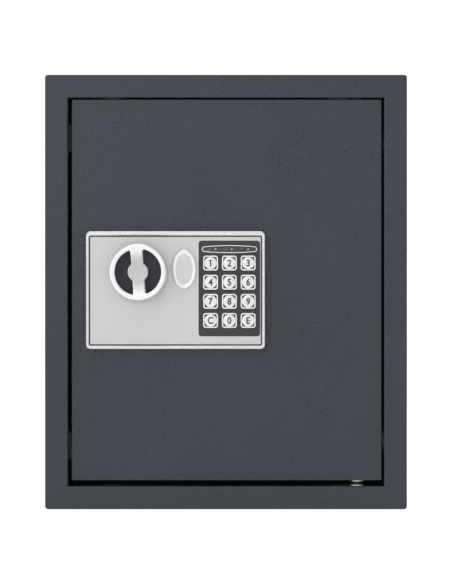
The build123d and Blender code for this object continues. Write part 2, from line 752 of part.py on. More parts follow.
# ---------------------------------------------------------------- batteries
wall = 1.5
with BuildPart() as battery_tray:
    with BuildSketch(level(tray_back)):
        with Locations((tray_x, tray_z)):
            RectangleRounded(tray_width, tray_height, 2.0)
    extrude(amount=tray_back - tray_front)
    with BuildSketch(level(tray_back)):
        with Locations((tray_x, tray_z)):
            RectangleRounded(tray_width - 2 * wall, tray_height - 2 * wall, 1.0)
    extrude(amount=tray_back - tray_front - wall, mode=Mode.SUBTRACT)
save(battery_tray, "battery_tray")

cell_y = tray_front + wall + cell_radius + 0.3
cell_spots = [(tray_x + (i - 1.5) * cell_pitch, cell_y) for i in range(4)]
nub_radius, nub_height = 2.6, 1.2
with BuildPart() as battery_cells:
    with BuildSketch(Plane.XY.offset(tray_z - cell_length / 2)):
        with Locations(*cell_spots):
            Circle(cell_radius)
    extrude(amount=cell_length)
    fillet(battery_cells.edges().filter_by(GeomType.CIRCLE), radius=0.6)
    for start, side in ((0, 1), (1, -1)):
        with BuildSketch(Plane.XY.offset(tray_z + side * cell_length / 2)):
            with Locations(*cell_spots[start::2]):
                Circle(nub_radius)
        extrude(amount=side * nub_height)
save(battery_cells, "battery_cells")

contact = 0.5
with BuildPart() as battery_contacts:
    for side in (1, -1):
        with BuildSketch(Plane.XY.offset(tray_z + side * (tray_height / 2 - wall - contact))):
            with Locations(*cell_spots):
                Rectangle(10.0, 9.0)
        extrude(amount=side * contact)
save(battery_contacts, "battery_contacts")

lid_back, lid_thickness = -57.2, 1.7
ridges = 5
with BuildPart() as battery_cover:
    with BuildSketch(level(lid_back)):
        with Locations((tray_x, tray_z)):
            RectangleRounded(tray_width - 1.0, tray_height - 1.0, 2.0)
    extrude(amount=lid_thickness)
    for i in range(ridges):
        with BuildSketch(level(lid_back + 0.8)):
            with Locations((tray_x, tray_z + tray_height / 2 - 7.0 - 2.2 * i)):
                SlotOverall(26.0 - 3.5 * i, 1.1)
        extrude(amount=0.8)
save(battery_cover, "battery_cover")

# ---------------------------------------------------------------- inner cover, reset button and wires
flange = 8.0
cover_mid = ((cover_left + cover_right) / 2, (cover_bottom + cover_top) / 2)
cover_size = (cover_right - cover_left, cover_top - cover_bottom)
reset_radius, collar_radius = 2.4, 3.8
with BuildPart() as mechanism_cover:
    with BuildSketch(level(cover_back)):
        with Locations(cover_mid):
            Rectangle(*cover_size)
    extrude(amount=cover_back - door_back)
    with BuildSketch(level(cover_back - cover_sheet)):
        with Locations((cover_mid[0] - cover_sheet, cover_mid[1])):
            Rectangle(cover_size[0], cover_size[1] - 2 * cover_sheet)
    extrude(amount=cover_back - door_back, mode=Mode.SUBTRACT)
    long_folds = mechanism_cover.edges().filter_by(Axis.X).group_by(Axis.Y)[-1]
    right_fold = mechanism_cover.edges().filter_by(Axis.Z).group_by(Axis.Y)[-1].sort_by(Axis.X)[-1]
    fillet(long_folds + right_fold, radius=0.9)
    with BuildSketch(level(door_back + cover_sheet)):
        with Locations((cover_mid[0], cover_top + flange / 2), (cover_mid[0], cover_bottom - flange / 2)):
            Rectangle(cover_size[0], flange)
        with Locations((cover_right + flange / 2, cover_mid[1])):
            Rectangle(flange, cover_size[1])
        with Locations(*cover_screw_spots):
            Circle(2.0, mode=Mode.SUBTRACT)
    extrude(amount=cover_sheet)
    with BuildSketch(level(cover_back)):
        with Locations((tray_x, tray_z)):
            RectangleRounded(tray_width + 0.4, tray_height + 0.4, 2.2)
        with Locations((reset_x, reset_z)):
            Circle(collar_radius + 0.1)
    extrude(amount=cover_sheet, mode=Mode.SUBTRACT)
save(mechanism_cover, "mechanism_cover")

with BuildPart() as cover_screws:
    with BuildSketch(level(door_back + cover_sheet)):
        with Locations(*cover_screw_spots):
            Circle(1.75)
    extrude(amount=cover_sheet + screw_bite - 0.2)
    with BuildSketch(level(door_back + cover_sheet + 2.0)):
        with Locations(*cover_screw_spots):
            Circle(3.4)
    extrude(amount=2.0)
    fillet(cover_screws.faces().filter_by(Axis.Y).group_by(Axis.Y)[-1].edges(), radius=1.0)
    with BuildSketch(level(door_back + cover_sheet + 2.0)):
        with Locations(*cover_screw_spots):
            Rectangle(3.8, 0.8)
            Rectangle(0.8, 3.8)
    extrude(amount=1.0, mode=Mode.SUBTRACT)
save(cover_screws, "cover_screws")

switch_half, switch_front = 4.5, -71.0
with BuildPart() as reset_switch:
    with BuildSketch(level(cover_back - cover_sheet - 0.1)):
        with Locations((reset_x, reset_z)):
            Rectangle(2 * switch_half, 2 * switch_half)
    extrude(amount=cover_back - cover_sheet - 0.1 - switch_front)
    with BuildSketch(level(cover_back + 0.8)):
        with Locations((reset_x, reset_z)):
            Circle(collar_radius)
    extrude(amount=cover_sheet + 0.9)
    with BuildSketch(level(cover_back + 0.8)):
        with Locations((reset_x, reset_z)):
            Circle(reset_radius + 0.15)
    extrude(amount=6.0, mode=Mode.SUBTRACT)
save(reset_switch, "reset_switch")

with BuildPart() as reset_button:
    with BuildSketch(level(cover_back + 2.6)):
        with Locations((reset_x, reset_z)):
            Circle(reset_radius)
    extrude(amount=5.5)
    fillet(reset_button.faces().sort_by(Axis.Y)[-1].edges(), radius=0.7)
save(reset_button, "reset_button")

wire_radius = 0.8


def wire(points, radius):
    """One round wire along straight runs joined by arcs."""
    with BuildLine() as route:
        FilletPolyline(*points, radius=radius)
    with BuildSketch(Plane(route.line @ 0, z_dir=route.line % 0)) as section:
        Circle(wire_radius)
    sweep(sections=section.sketch, path=route.line)


solder_y = board_back + 0.1
lead_y = -88.0
coil_side = pin_x + coil_width / 2
with BuildPart() as battery_leads:
    for side in (-1, 1):
        x = cable_x + side * 1.2
        wire([(x, solder_y, cable_z - 1.6), (x, -84.0, cable_z - 1.6), (x, -68.0, 16.0),
              (x, -68.0, tray_z + tray_height / 2 + 0.1)], 5.0)
save(battery_leads, "battery_leads")

with BuildPart() as control_leads:
    for side in (-1, 1):
        x = cable_x + side * 1.2
        wire([(x, solder_y, cable_z + 1.6), (x, -86.0, cable_z + 1.6), (reset_x + 2.0 * side, -78.0, reset_z),
              (reset_x + 2.0 * side, switch_front - 0.1, reset_z)], 3.0)
    for side in (-1, 1):
        x, y, z = cable_x - 3.3, lead_y + side, cable_z + 1.2 * side
        down, across = (-18.0, y, -18.0), (coil_side + 9.0, y, -32.0)
        wire([(x, solder_y, z), (x, y, z), down, across, (coil_side + 0.1, y, -32.0)], 3.0)
save(control_leads, "control_leads")
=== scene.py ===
"""Electronic wall safe: finishes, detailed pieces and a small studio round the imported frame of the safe.

Most pieces are made in millimetres, facing up, and then turned to face the front and put in their place;
turned parts are made upright. The Wall safe panel in the 3D view's sidebar holds the sizes and colours, and a
button for each group of pieces.
"""

from bpy.props import FloatProperty, FloatVectorProperty, PointerProperty
from mathutils import Matrix, Vector
import bmesh
import bpy
import json
import math


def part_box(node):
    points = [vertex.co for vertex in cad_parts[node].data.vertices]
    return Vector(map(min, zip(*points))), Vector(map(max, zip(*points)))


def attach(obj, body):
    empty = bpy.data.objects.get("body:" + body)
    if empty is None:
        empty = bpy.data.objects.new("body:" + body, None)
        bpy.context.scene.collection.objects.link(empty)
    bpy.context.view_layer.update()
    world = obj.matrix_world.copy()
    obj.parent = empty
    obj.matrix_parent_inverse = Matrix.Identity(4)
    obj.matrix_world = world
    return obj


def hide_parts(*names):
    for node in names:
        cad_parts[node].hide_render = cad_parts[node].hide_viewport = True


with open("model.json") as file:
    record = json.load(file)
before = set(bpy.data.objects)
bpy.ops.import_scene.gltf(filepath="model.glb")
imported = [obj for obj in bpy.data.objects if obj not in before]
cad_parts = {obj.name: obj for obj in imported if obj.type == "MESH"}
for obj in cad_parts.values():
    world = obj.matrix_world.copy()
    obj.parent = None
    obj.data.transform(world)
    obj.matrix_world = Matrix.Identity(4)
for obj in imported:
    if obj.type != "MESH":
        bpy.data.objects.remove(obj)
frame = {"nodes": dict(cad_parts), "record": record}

bl_info = {
    "name": "Wall safe",
    "version": (1, 0, 0),
    "blender": (4, 5, 0),
    "location": "3D View > Sidebar > Wall safe",
    "description": "Finishes and detailed pieces for an electronic wall safe",
    "category": "Object",
}

MM = 0.001
KEYS = {"1": "1", "2": "2", "3": "3", "4": "4", "5": "5", "6": "6", "7": "7", "8": "8", "9": "9",
        "clear": "C", "0": "0", "enter": "E"}
MIX_A, MIX_B, MIX_RESULT = 6, 7, 2  # the colour sockets of a Mix node
WHITE = (1, 1, 1, 1)


def middle(node):
    """The centre of a frame node, in metres."""
    low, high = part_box(node)
    return (low + high) / 2


def size_mm(node):
    """The size of a frame node, in millimetres."""
    low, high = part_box(node)
    return (high - low) / MM


def front_of(node):
    """The depth of a node's front, in metres."""
    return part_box(node)[0].y


def back_of(node):
    """The depth of a node's back, in metres."""
    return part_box(node)[1].y


# ---------------------------------------------------------------- settings
def length(name, default, description):
    """A size in millimetres that a user may change."""
    return FloatProperty(name=name, description=description, default=default, min=0.0)


def colour(name, default, description):
    """A colour that a user may change."""
    return FloatVectorProperty(name=name, description=description, default=default, size=3, subtype="COLOR",
                               min=0.0, max=1.0)


class SafeSizes(bpy.types.PropertyGroup):
    """Sizes of the detailed pieces, in millimetres."""

    bezel_round: length("Bezel rounding", 1.5, "How far the ring's front stands above its walls, in mm")
    bezel_dish: length("Bezel dish", 0.15, "How far the middle of the ring's front is sunk, in mm")
    cap_bead: length("Cap bead", 3.2, "Width of the raised bead round the oval cap, in mm")
    cap_sink: length("Cap sink", 0.8, "How far the cap's centre lies below its bead, in mm")
    key_rim: length("Key rim", 1.2, "Width of the square frame of a key, in mm")
    key_sink: length("Key corner depth", 0.6, "Depth of a key's dark corners below its frame, in mm")
    key_disc: length("Key disc", 10.1, "Diameter of the round disc on a key, in mm")
    key_dome: length("Key dome", 0.3, "How far the middle of a key's disc swells, in mm")
    legend: length("Legend height", 5.9, "Height of a key's digit, in mm")
    stroke: length("Legend weight", 0.26, "How much bolder than the plain letter a digit's stroke is, in mm")
    mat_rib: length("Mat rib", 5.0, "Distance between the ribs of the floor mat, in mm")


class SafeColours(bpy.types.PropertyGroup):
    """Colours of the finishes."""

    powder: colour("Powder coat", (0.0144, 0.0176, 0.0264), "Textured slate coat of the cabinet and the door")
    silver: colour("Panel silver", (0.37, 0.37, 0.37), "Satin lacquer of the lock panel")
    bright: colour("Bright silver", (0.54, 0.54, 0.54), "Lacquer of the knob, cap bead and window trim")
    fascia: colour("Fascia", (0.0115, 0.012, 0.0145), "Moulded plate that carries the keys")
    cups: colour("Knob pockets", (0.014, 0.016, 0.021), "Dark inserts in the knob")
    ink: colour("Legend ink", (0.022, 0.022, 0.025), "Digits on the keys")
    zinc: colour("Zinc", (0.62, 0.62, 0.61), "Plated pins, screws and levers")
    felt: colour("Felt", (0.055, 0.058, 0.066), "Floor mat")


class SafeStudio(bpy.types.PropertyGroup):
    """Camera and lights."""

    distance: FloatProperty(name="Camera distance", description="From the frame's face to the camera",
                            default=1.6, unit="LENGTH")
    view_height: FloatProperty(name="View height", description="Height seen at the frame's face",
                               default=0.4836, unit="LENGTH")
    key_power: FloatProperty(name="Key light", description="Power of the key light in watts", default=21.0)
    fill_power: FloatProperty(name="Fill light", description="Power of the fill light in watts", default=10.0)
    top_power: FloatProperty(name="Top light", description="Power of the top light in watts", default=12.0)
    side_power: FloatProperty(name="Side light", description="Power of the side light in watts", default=8.0)
    world: FloatProperty(name="Surroundings", description="Light from the pale surroundings", default=0.45)


# ---------------------------------------------------------------- shader node groups
class Graph:
    """Adds nodes to a node tree and joins them."""

    def __init__(self, tree):
        self.tree = tree

    def node(self, kind, values=None, **settings):
        """A new node with its settings and the values of its input sockets."""
        node = self.tree.nodes.new(kind)
        for name, value in settings.items():
            setattr(node, name, value)
        for name, value in (values or {}).items():
            node.inputs[name].default_value = value
        return node

    def join(self, source, output, target, socket):
        """A link from one node's output to another's input."""
        self.tree.links.new(source.outputs[output], target.inputs[socket])

    def maths(self, operation, *terms, clamp=False):
        """The result of a sum on output sockets and plain numbers."""
        node = self.node("ShaderNodeMath", operation=operation, use_clamp=clamp)
        for socket, term in zip(node.inputs, terms):
            if isinstance(term, float):
                socket.default_value = term
            else:
                self.tree.links.new(term, socket)
        return node.outputs[0]


def effect_group(name, inputs, outputs):
    """A new node group with float inputs (or a vector called Vector) and float outputs."""
    tree = bpy.data.node_groups.new(name, "ShaderNodeTree")
    for label, default in inputs:
        kind = "NodeSocketVector" if default is None else "NodeSocketFloat"
        made = tree.interface.new_socket(name=label, in_out="INPUT", socket_type=kind)
        if default is not None:
            made.default_value = default
    for label in outputs:
        tree.interface.new_socket(name=label, in_out="OUTPUT", socket_type="NodeSocketFloat")
    graph = Graph(tree)
    return graph, graph.node("NodeGroupInput"), graph.node("NodeGroupOutput")


def add_gloss(graph, height, given, made):
    """Spreads a group's roughness between its Low and its High as the height goes."""
    gloss = graph.node("ShaderNodeMapRange", {"From Min": 0.3, "From Max": 0.7})
    graph.tree.links.new(height, gloss.inputs["Value"])
    graph.join(given, "Low", gloss, "To Min")
    graph.join(given, "High", gloss, "To Max")
    graph.join(gloss, 0, made, "Gloss")


def grain_group():
    """Even fine grain, as of a powder coat or a moulded skin: its height, its shade and its gloss."""
    if "Fine grain" in bpy.data.node_groups:
        return bpy.data.node_groups["Fine grain"]
    graph, given, made = effect_group(
        "Fine grain",
        [("Vector", None), ("Scale", 1000.0), ("Patch scale", 14.0), ("Low", 0.4), ("High", 0.55),
         ("Contrast", 1.0)], ["Height", "Shade", "Gloss"])
    pimples = graph.node("ShaderNodeTexNoise", {"Detail": 2.0, "Roughness": 0.5})
    graph.join(given, "Vector", pimples, "Vector")
    graph.join(given, "Scale", pimples, "Scale")
    graph.join(pimples, 0, made, "Height")
    patches = graph.node("ShaderNodeTexNoise", {"Detail": 3.0, "Roughness": 0.55})
    graph.join(given, "Vector", patches, "Vector")
    graph.join(given, "Patch scale", patches, "Scale")
    fine, wide = pimples.outputs[0], patches.outputs[0]
    apart = graph.maths("SUBTRACT", fine, 0.5)
    stronger = graph.maths("MULTIPLY_ADD", apart, given.outputs["Contrast"], 0.5)
    shade = graph.maths("MULTIPLY", graph.maths("ADD", stronger, wide), 0.5, clamp=True)
    graph.tree.links.new(shade, made.inputs["Shade"])
    mean = graph.maths("MULTIPLY", graph.maths("ADD", fine, wide), 0.5)
    add_gloss(graph, mean, given, made)
    return graph.tree


def drawn_group():
    """Fine parallel lines of a drawn or brushed metal: their height, their shade and their gloss."""
    if "Drawn lines" in bpy.data.node_groups:
        return bpy.data.node_groups["Drawn lines"]
    graph, given, made = effect_group(
        "Drawn lines",
        [("Vector", None), ("Across", 2500.0), ("Along", 60.0), ("Low", 0.25), ("High", 0.4)],
        ["Height", "Shade", "Gloss"])
    stretch = graph.node("ShaderNodeCombineXYZ")
    graph.join(given, "Along", stretch, "X")
    graph.join(given, "Across", stretch, "Y")
    graph.join(given, "Across", stretch, "Z")
    spread = graph.node("ShaderNodeVectorMath", operation="MULTIPLY")
    graph.join(given, "Vector", spread, 0)
    graph.join(stretch, 0, spread, 1)
    lines = graph.node("ShaderNodeTexNoise", {"Scale": 1.0, "Detail": 3.0, "Roughness": 0.6})
    graph.join(spread, 0, lines, "Vector")
    graph.join(lines, 0, made, "Height")
    graph.join(lines, 0, made, "Shade")
    add_gloss(graph, lines.outputs[0], given, made)
    return graph.tree


def handling_group():
    """Soft smudges left by hands and dust: a mask."""
    if "Handling" in bpy.data.node_groups:
        return bpy.data.node_groups["Handling"]
    graph, given, made = effect_group(
        "Handling", [("Vector", None), ("Scale", 30.0), ("Amount", 0.3)], ["Mask"])
    clouds = graph.node("ShaderNodeTexNoise", {"Detail": 5.0, "Roughness": 0.6, "Distortion": 0.6})
    graph.join(given, "Vector", clouds, "Vector")
    graph.join(given, "Scale", clouds, "Scale")
    patches = graph.node("ShaderNodeMapRange", {"From Min": 0.48, "From Max": 0.72},
                         interpolation_type="SMOOTHSTEP")
    graph.join(clouds, 0, patches, "Value")
    mask = graph.maths("MULTIPLY", patches.outputs[0], given.outputs["Amount"])
    graph.tree.links.new(mask, made.inputs["Mask"])
    return graph.tree


def hub_shade_group():
    """A mask that fades out between two radii round an axis, for painted shade on the middle of a turned part
    that faces the front.
    """
    if "Painted hub shade" in bpy.data.node_groups:
        return bpy.data.node_groups["Painted hub shade"]
    graph, given, made = effect_group(
        "Painted hub shade", [("Vector", None), ("X", 0.0), ("Z", 0.0), ("Inner", 0.01), ("Outer", 0.02)],
        ["Mask"])
    axis = graph.node("ShaderNodeCombineXYZ")
    graph.join(given, "X", axis, "X")
    graph.join(given, "Z", axis, "Z")
    flat = graph.node("ShaderNodeVectorMath", operation="MULTIPLY")
    flat.inputs[1].default_value = (1, 0, 1)
    graph.join(given, "Vector", flat, 0)
    away = graph.node("ShaderNodeVectorMath", operation="DISTANCE")
    graph.join(flat, 0, away, 0)
    graph.join(axis, 0, away, 1)
    fade = graph.node("ShaderNodeMapRange", {"To Min": 1.0, "To Max": 0.0}, interpolation_type="SMOOTHSTEP")
    graph.join(away, "Value", fade, "Value")
    graph.join(given, "Inner", fade, "From Min")
    graph.join(given, "Outer", fade, "From Max")
    graph.join(fade, 0, made, "Mask")
    return graph.tree


def weave_group():
    """Short matted fibres: their height and their shade."""
    if "Fibres" in bpy.data.node_groups:
        return bpy.data.node_groups["Fibres"]
    graph, given, made = effect_group("Fibres", [("Vector", None), ("Scale", 900.0)], ["Height", "Shade"])
    fibres = graph.node("ShaderNodeTexNoise", {"Detail": 6.0, "Roughness": 0.75, "Distortion": 2.5})
    graph.join(given, "Vector", fibres, "Vector")
    graph.join(given, "Scale", fibres, "Scale")
    graph.join(fibres, 0, made, "Height")
    graph.join(fibres, 0, made, "Shade")
    return graph.tree


# ---------------------------------------------------------------- materials
def material(name, base, group, values, tone=0.12, bump=0.00002, smudge=0.0, **surface):
    """A Principled material whose colour, gloss and bump vary as the effect group says.

    tone is how much the colour varies, bump the height of the grain in metres, smudge the amount of handling.
    surface holds the Principled sockets that stay the same all over.
    """
    name = f"finish_{name}"
    if name in bpy.data.materials:
        return bpy.data.materials[name]
    made = bpy.data.materials.new(name)
    made.use_nodes = True
    graph = Graph(made.node_tree)
    shader = made.node_tree.nodes["Principled BSDF"]
    for socket, value in surface.items():
        shader.inputs[socket.replace("_", " ")].default_value = value
    place = graph.node("ShaderNodeTexCoord")
    effect = graph.node("ShaderNodeGroup", node_tree=group)
    for socket, value in values.items():
        effect.inputs[socket].default_value = value
    graph.join(place, "Object", effect, "Vector")
    dark = [channel * (1 - tone) for channel in base] + [1.0]
    light = [min(1.0, channel * (1 + tone)) for channel in base] + [1.0]
    mix = graph.node("ShaderNodeMix", data_type="RGBA")
    mix.inputs[MIX_A].default_value = dark
    mix.inputs[MIX_B].default_value = light
    graph.join(effect, "Shade", mix, "Factor")
    made.node_tree.links.new(mix.outputs[MIX_RESULT], shader.inputs["Base Color"])
    if "Gloss" in effect.outputs:
        if smudge:
            hands = graph.node("ShaderNodeGroup", node_tree=handling_group())
            hands.inputs["Amount"].default_value = smudge
            graph.join(place, "Object", hands, "Vector")
            rough = graph.maths("ADD", effect.outputs["Gloss"], hands.outputs["Mask"], clamp=True)
            made.node_tree.links.new(rough, shader.inputs["Roughness"])
        else:
            graph.join(effect, "Gloss", shader, "Roughness")
    relief = graph.node("ShaderNodeBump", {"Strength": 1.0, "Distance": bump})
    graph.join(effect, "Height", relief, "Height")
    graph.join(relief, 0, shader, "Normal")
    return made


def powder_coat():
    """Slate powder coat with a fine orange peel."""
    tint = bpy.context.scene.safe_colours.powder
    return material("powder_coat", tint, grain_group(), {"Scale": 620.0, "Low": 0.24, "High": 0.4,
                    "Contrast": 4.0}, tone=0.42, bump=0.0004, smudge=0.05, Specular_IOR_Level=0.32)


def gap_shade_coat():
    """Matt black coat, painted shade: it makes the door stops and two hinge washers as dark as the shade in
    the door gap.
    """
    return material("gap_shade_coat", (0.006, 0.006, 0.007), grain_group(), {"Scale": 900.0, "Low": 0.5,
                    "High": 0.65}, tone=0.2, bump=0.0001, Specular_IOR_Level=0.2)


def panel_silver():
    """Satin silver lacquer with a very fine metallic grain."""
    tint = bpy.context.scene.safe_colours.silver
    return material("panel_silver", tint, grain_group(), {"Scale": 3500.0, "Patch scale": 30.0, "Low": 0.36,
                    "High": 0.5}, tone=0.07, bump=0.000012, smudge=0.06, Metallic=0.35, Coat_Weight=0.1)


def bright_silver():
    """Brighter, smoother silver lacquer on the parts that stand proud."""
    tint = bpy.context.scene.safe_colours.bright
    return material("bright_silver", tint, grain_group(), {"Scale": 3000.0, "Patch scale": 40.0, "Low": 0.26,
                    "High": 0.36}, tone=0.05, bump=0.000008, smudge=0.05, Metallic=0.4, Coat_Weight=0.25)


def cap_silver():
    """The satin middle of the lock's cap, a little lighter than the panel."""
    return material("cap_silver", (0.40, 0.40, 0.402), grain_group(), {"Scale": 3500.0, "Patch scale": 30.0,
                    "Low": 0.34, "High": 0.46}, tone=0.05, bump=0.000010, smudge=0.05, Metallic=0.35,
                    Coat_Weight=0.1)


def ring_silver():
    """Silver lacquer on the panel's ring, a little duller than the knob's."""
    return material("ring_silver", (0.45, 0.45, 0.455), grain_group(), {"Scale": 3000.0, "Patch scale": 40.0,
                    "Low": 0.2, "High": 0.3}, tone=0.05, bump=0.000008, smudge=0.05, Metallic=0.5,
                    Coat_Weight=0.5)


def knob_silver():
    """The knob's silver, bright on its rim and darker towards the hub: painted shade for the knob's dished
    face.
    """
    if "finish_knob_silver" in bpy.data.materials:
        return bpy.data.materials["finish_knob_silver"]
    tint = bpy.context.scene.safe_colours.bright
    made = material("knob_silver", tint, grain_group(), {"Scale": 3000.0, "Patch scale": 40.0, "Low": 0.28,
                    "High": 0.38}, tone=0.04, bump=0.000008, Metallic=0.4, Coat_Weight=0.2)
    graph = Graph(made.node_tree)
    shader = made.node_tree.nodes["Principled BSDF"]
    plain = shader.inputs["Base Color"].links[0].from_socket
    centre = middle("knob")
    # Painted shade: the base colour is multiplied darker towards the knob's axis, for the shade of its dished
    # face.
    place = graph.node("ShaderNodeTexCoord")
    painted_hub_shade = graph.node("ShaderNodeGroup", {"X": centre.x, "Z": centre.z, "Inner": 0.008, "Outer": 0.0205},
                      node_tree=hub_shade_group())
    graph.join(place, "Object", painted_hub_shade, "Vector")
    hub_darkening = graph.node("ShaderNodeMix", data_type="RGBA", blend_type="MULTIPLY")
    hub_darkening.inputs[MIX_B].default_value = (0.60, 0.60, 0.61, 1.0)
    graph.join(painted_hub_shade, "Mask", hub_darkening, 0)
    made.node_tree.links.new(plain, hub_darkening.inputs[MIX_A])
    made.node_tree.links.new(hub_darkening.outputs[MIX_RESULT], shader.inputs["Base Color"])
    return made


def fascia_plastic():
    """Dark grey moulded plastic with a fine spark-eroded skin."""
    tint = bpy.context.scene.safe_colours.fascia
    return material("fascia_plastic", tint, grain_group(), {"Scale": 4200.0, "Low": 0.42, "High": 0.56},
                    tone=0.08, bump=0.00002, smudge=0.05, Specular_IOR_Level=0.4)


def black_plastic():
    """Black moulded plastic of the hidden housings."""
    return material("black_plastic", (0.018, 0.018, 0.020), grain_group(), {"Scale": 2600.0, "Low": 0.45,
                    "High": 0.6}, tone=0.15, bump=0.00003)


def cup_plastic():
    """Dark slate plastic in the knob's pockets."""
    tint = bpy.context.scene.safe_colours.cups
    return material("cup_plastic", tint, grain_group(), {"Scale": 3200.0, "Low": 0.5, "High": 0.62}, tone=0.1,
                    bump=0.00002, Specular_IOR_Level=0.3)


def key_silver():
    """Semi-gloss silver of the keys."""
    return material("key_silver", (0.50, 0.50, 0.505), grain_group(), {"Scale": 5000.0, "Patch scale": 60.0,
                    "Low": 0.2, "High": 0.3}, tone=0.04, bump=0.000004, Metallic=0.25, Coat_Weight=0.2)


def legend_ink():
    """Dark grey pad-printed ink."""
    tint = bpy.context.scene.safe_colours.ink
    return material("legend_ink", tint, grain_group(), {"Scale": 6000.0, "Low": 0.35, "High": 0.5}, tone=0.1,
                    bump=0.000004)


def zinc_plate():
    """Bright zinc plate over turned steel."""
    tint = bpy.context.scene.safe_colours.zinc
    return material("zinc_plate", tint, drawn_group(), {"Across": 2200.0, "Along": 160.0, "Low": 0.24,
                    "High": 0.4}, tone=0.14, bump=0.000012, smudge=0.08, Metallic=1.0)


def bright_chrome():
    """Satin chrome."""
    return material("bright_chrome", (0.78, 0.79, 0.80), drawn_group(), {"Across": 4200.0, "Along": 300.0,
                    "Low": 0.1, "High": 0.2}, tone=0.05, bump=0.000004, Metallic=1.0)


def drawn_brass():
    """Drawn brass of the lock plug and the bush."""
    return material("drawn_brass", (0.70, 0.50, 0.20), drawn_group(), {"Across": 2600.0, "Along": 200.0,
                    "Low": 0.2, "High": 0.36}, tone=0.12, bump=0.00001, smudge=0.1, Metallic=1.0)


def copper_wire():
    """Enamelled copper wire, wound round and round."""
    return material("copper_wire", (0.48, 0.17, 0.07), drawn_group(), {"Across": 3000.0, "Along": 120.0,
                    "Low": 0.2, "High": 0.35}, tone=0.22, bump=0.00005, Metallic=0.9, Coat_Weight=0.5)


def silicone_rubber():
    """Matt silicone of the key membrane."""
    return material("silicone_rubber", (0.03, 0.03, 0.033), grain_group(), {"Scale": 1800.0, "Low": 0.6,
                    "High": 0.75}, tone=0.12, bump=0.00002)


def board_green():
    """Solder mask over copper tracks."""
    return material("board_green", (0.012, 0.09, 0.04), drawn_group(), {"Across": 500.0, "Along": 260.0,
                    "Low": 0.2, "High": 0.34}, tone=0.3, bump=0.00002, Coat_Weight=0.4)


def cell_sleeve():
    """Shrink sleeve of a cell."""
    return material("cell_sleeve", (0.02, 0.021, 0.024), grain_group(), {"Scale": 1400.0, "Low": 0.16,
                    "High": 0.26}, tone=0.2, bump=0.000008, Coat_Weight=0.4)


def cell_band():
    """The coloured end band of a cell's sleeve."""
    return material("cell_band", (0.50, 0.20, 0.04), grain_group(), {"Scale": 1400.0, "Low": 0.16,
                    "High": 0.26}, tone=0.15, bump=0.000008, Coat_Weight=0.4)


def red_plastic():
    """Red moulded plastic of the reset button."""
    return material("red_plastic", (0.42, 0.012, 0.010), grain_group(), {"Scale": 3000.0, "Low": 0.25,
                    "High": 0.36}, tone=0.1, bump=0.00001)


def wire_sleeve():
    """PVC sleeve of the wires."""
    return material("wire_sleeve", (0.022, 0.022, 0.025), grain_group(), {"Scale": 2200.0, "Low": 0.34,
                    "High": 0.46}, tone=0.2, bump=0.00001)


def lens_tint():
    """Dark tinted acrylic of the indicator window."""
    return material("lens_tint", (0.014, 0.014, 0.017), grain_group(), {"Scale": 900.0, "Low": 0.18,
                    "High": 0.28}, tone=0.12, bump=0.000002, Coat_Weight=0.1)


def lamp_epoxy():
    """Milky epoxy of the lamps."""
    return material("lamp_epoxy", (0.42, 0.43, 0.42), grain_group(), {"Scale": 2400.0, "Low": 0.2,
                    "High": 0.3}, tone=0.05, bump=0.000004, Subsurface_Weight=0.2, Coat_Weight=0.4)


def mat_felt():
    """Matted felt of the floor mat."""
    tint = bpy.context.scene.safe_colours.felt
    return material("mat_felt", tint, weave_group(), {"Scale": 700.0}, tone=0.45, bump=0.0003, Roughness=0.95,
                    Sheen_Weight=0.35, Sheen_Roughness=0.5)


SLOT_FINISH = {
    "powder_coat": powder_coat, "zinc_steel": zinc_plate, "satin_silver": panel_silver,
    "chrome_trim": bright_chrome, "dark_plastic": black_plastic, "key_silver": key_silver,
    "rubber": silicone_rubber, "felt": mat_felt, "brass": drawn_brass, "copper_coil": copper_wire,
    "board": board_green, "battery": cell_sleeve, "red_plastic": red_plastic, "wire": wire_sleeve,
    "clear_lens": lens_tint, "led": lamp_epoxy,
}
FINISHED_APART = (  # the nodes that other buttons finish or replace, besides the keys
    "body_shell", "back_plate", "door_stops", "hinge_pins", "hinge_washers", "floor_mat", "door_plate",
    "hinge_blocks", "bolt_bracket", "panel_bezel", "faceplate", "panel_housing", "keypad_fascia",
    "panel_screws", "knob", "knob_inlays", "lock_cap", "indicator_trim", "indicator_lens", "indicator_leds",
)


# ---------------------------------------------------------------- shaping
def rounded_face(shape, width, height, corner, segments=8):
    """A flat rounded rectangle that faces up."""
    corners = bmesh.ops.create_grid(shape, x_segments=1, y_segments=1, size=0.5)["verts"]
    bmesh.ops.scale(shape, vec=(width, height, 1.0), verts=corners)
    bmesh.ops.bevel(shape, geom=corners, offset=corner, segments=segments, profile=0.5, affect="VERTICES",
                    material=-1)
    shape.faces.ensure_lookup_table()
    return shape.faces[-1]


def oval_face(shape, width, height, segments=96):
    """A flat ellipse that faces up."""
    rim = bmesh.ops.create_circle(shape, cap_ends=True, radius=0.5, segments=segments)["verts"]
    bmesh.ops.scale(shape, vec=(width, height, 1.0), verts=rim)
    shape.faces.ensure_lookup_table()
    return shape.faces[-1]


def lift(shape, verts, height):
    """Moves vertices up."""
    bmesh.ops.translate(shape, vec=(0, 0, height), verts=verts)


def connected(face):
    """Every vertex of the shell that a face belongs to."""
    seen, queue = set(face.verts), list(face.verts)
    while queue:
        for edge in queue.pop().link_edges:
            for vert in edge.verts:
                if vert not in seen:
                    seen.add(vert)
                    queue.append(vert)
    return list(seen)


def raise_face(shape, face, height):
    """Makes a solid of a face: gives back its new top, and leaves the face as its underside."""
    if face.normal.z < 0:
        face.normal_flip()
    grown = bmesh.ops.extrude_face_region(shape, geom=[face])["geom"]
    top = [item for item in grown if isinstance(item, bmesh.types.BMFace)][0]
    lift(shape, list(top.verts), height)
    top.normal_update()
    return top


